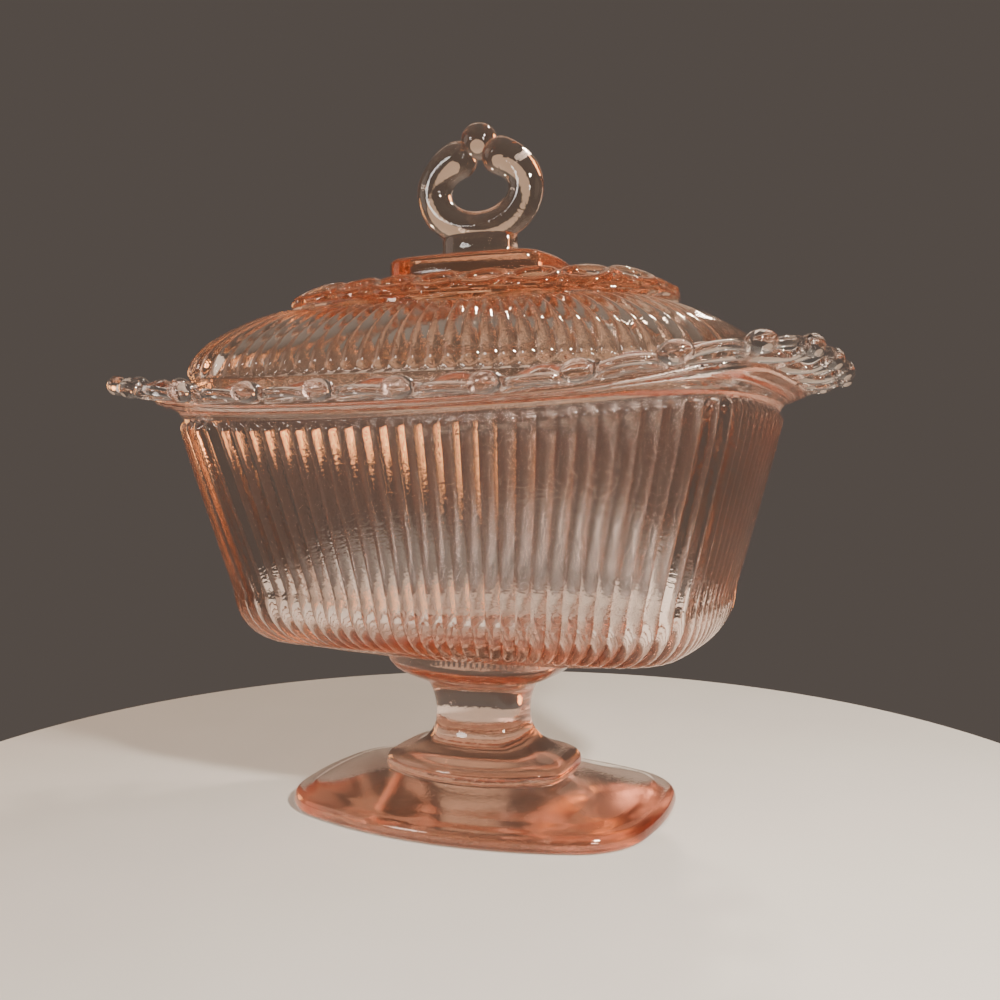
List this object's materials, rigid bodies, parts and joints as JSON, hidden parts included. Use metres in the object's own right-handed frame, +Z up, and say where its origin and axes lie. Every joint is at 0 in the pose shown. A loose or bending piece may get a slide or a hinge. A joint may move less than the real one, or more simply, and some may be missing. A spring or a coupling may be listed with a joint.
{
  "type": "covered candy dish",
  "caption": "Footed oblong candy dish in pale pink pressed glass, with a ribbed body, an openwork loop-and-bead rim and a lift-off lid with a loop finial.",
  "frame": {"origin": "centre of the foot's flat underside", "axes": "+X along the bowl's long side, +Y across it, +Z up through the finial"},
  "size_m": [0.1812, 0.1294, 0.17],
  "materials": {
    "bowl_glass": "pale pink pressed glass, fire-polished, with fine stippling on the ribs",
    "lid_glass": "pale pink pressed glass, fire-polished"
  },
  "bodies": {
    "dish": {"footed_bowl": "bowl_glass"},
    "lid": {"lid": "lid_glass"}
  },
  "joints": [
    {"name": "lid_lift", "type": "slide", "parent": "dish", "child": "lid", "axis": [0, 0, 1], "range_m": [0, 0.12]}
  ]
}
